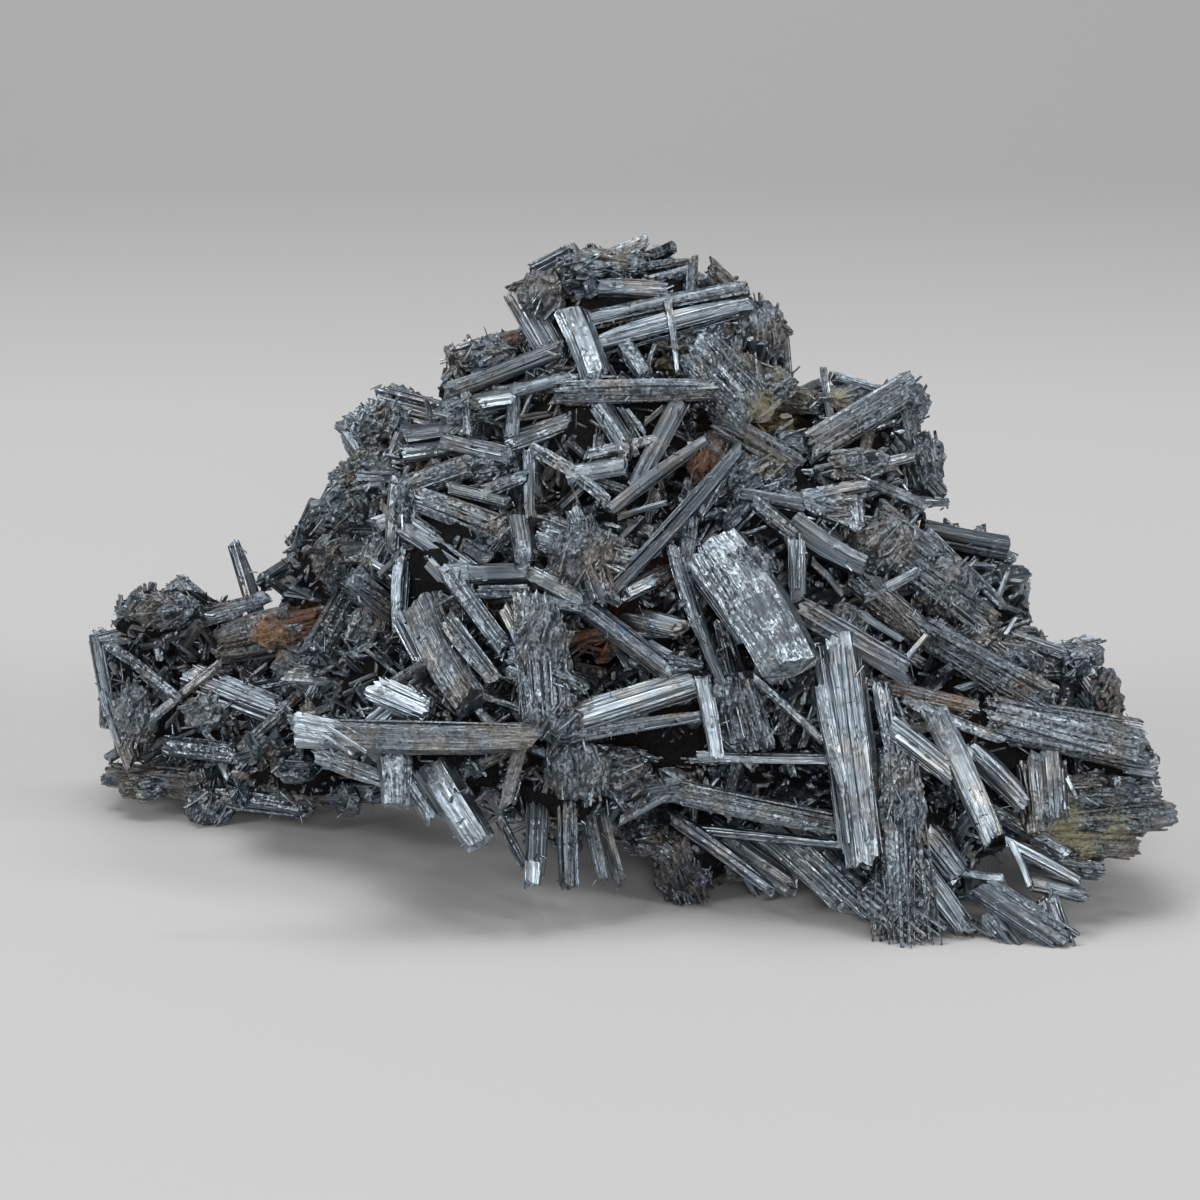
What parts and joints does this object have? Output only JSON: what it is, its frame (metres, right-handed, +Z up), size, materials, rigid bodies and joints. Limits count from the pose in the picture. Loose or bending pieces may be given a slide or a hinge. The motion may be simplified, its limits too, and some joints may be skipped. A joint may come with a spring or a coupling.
{
  "type": "stibnite crystal spray",
  "caption": "Loose jackstraw spray of steel-grey stibnite: striated prisms and blades grown through each other, with a high knob and a low trailing wing, resting on its crystal tips.",
  "frame": {"origin": "middle of the bounding box in plan, at the level of the feet", "axes": "+X to the right along the longest extent seen from the front, +Y away from the front face, +Z up"},
  "size_m": [0.115, 0.0594, 0.0655],
  "materials": {
    "stibnite": "bright to dull metallic lead grey with fine lengthwise striations, darker and rust stained in the gaps"
  },
  "bodies": {
    "root": {"crystal_spray": "stibnite"}
  },
  "joints": []
}
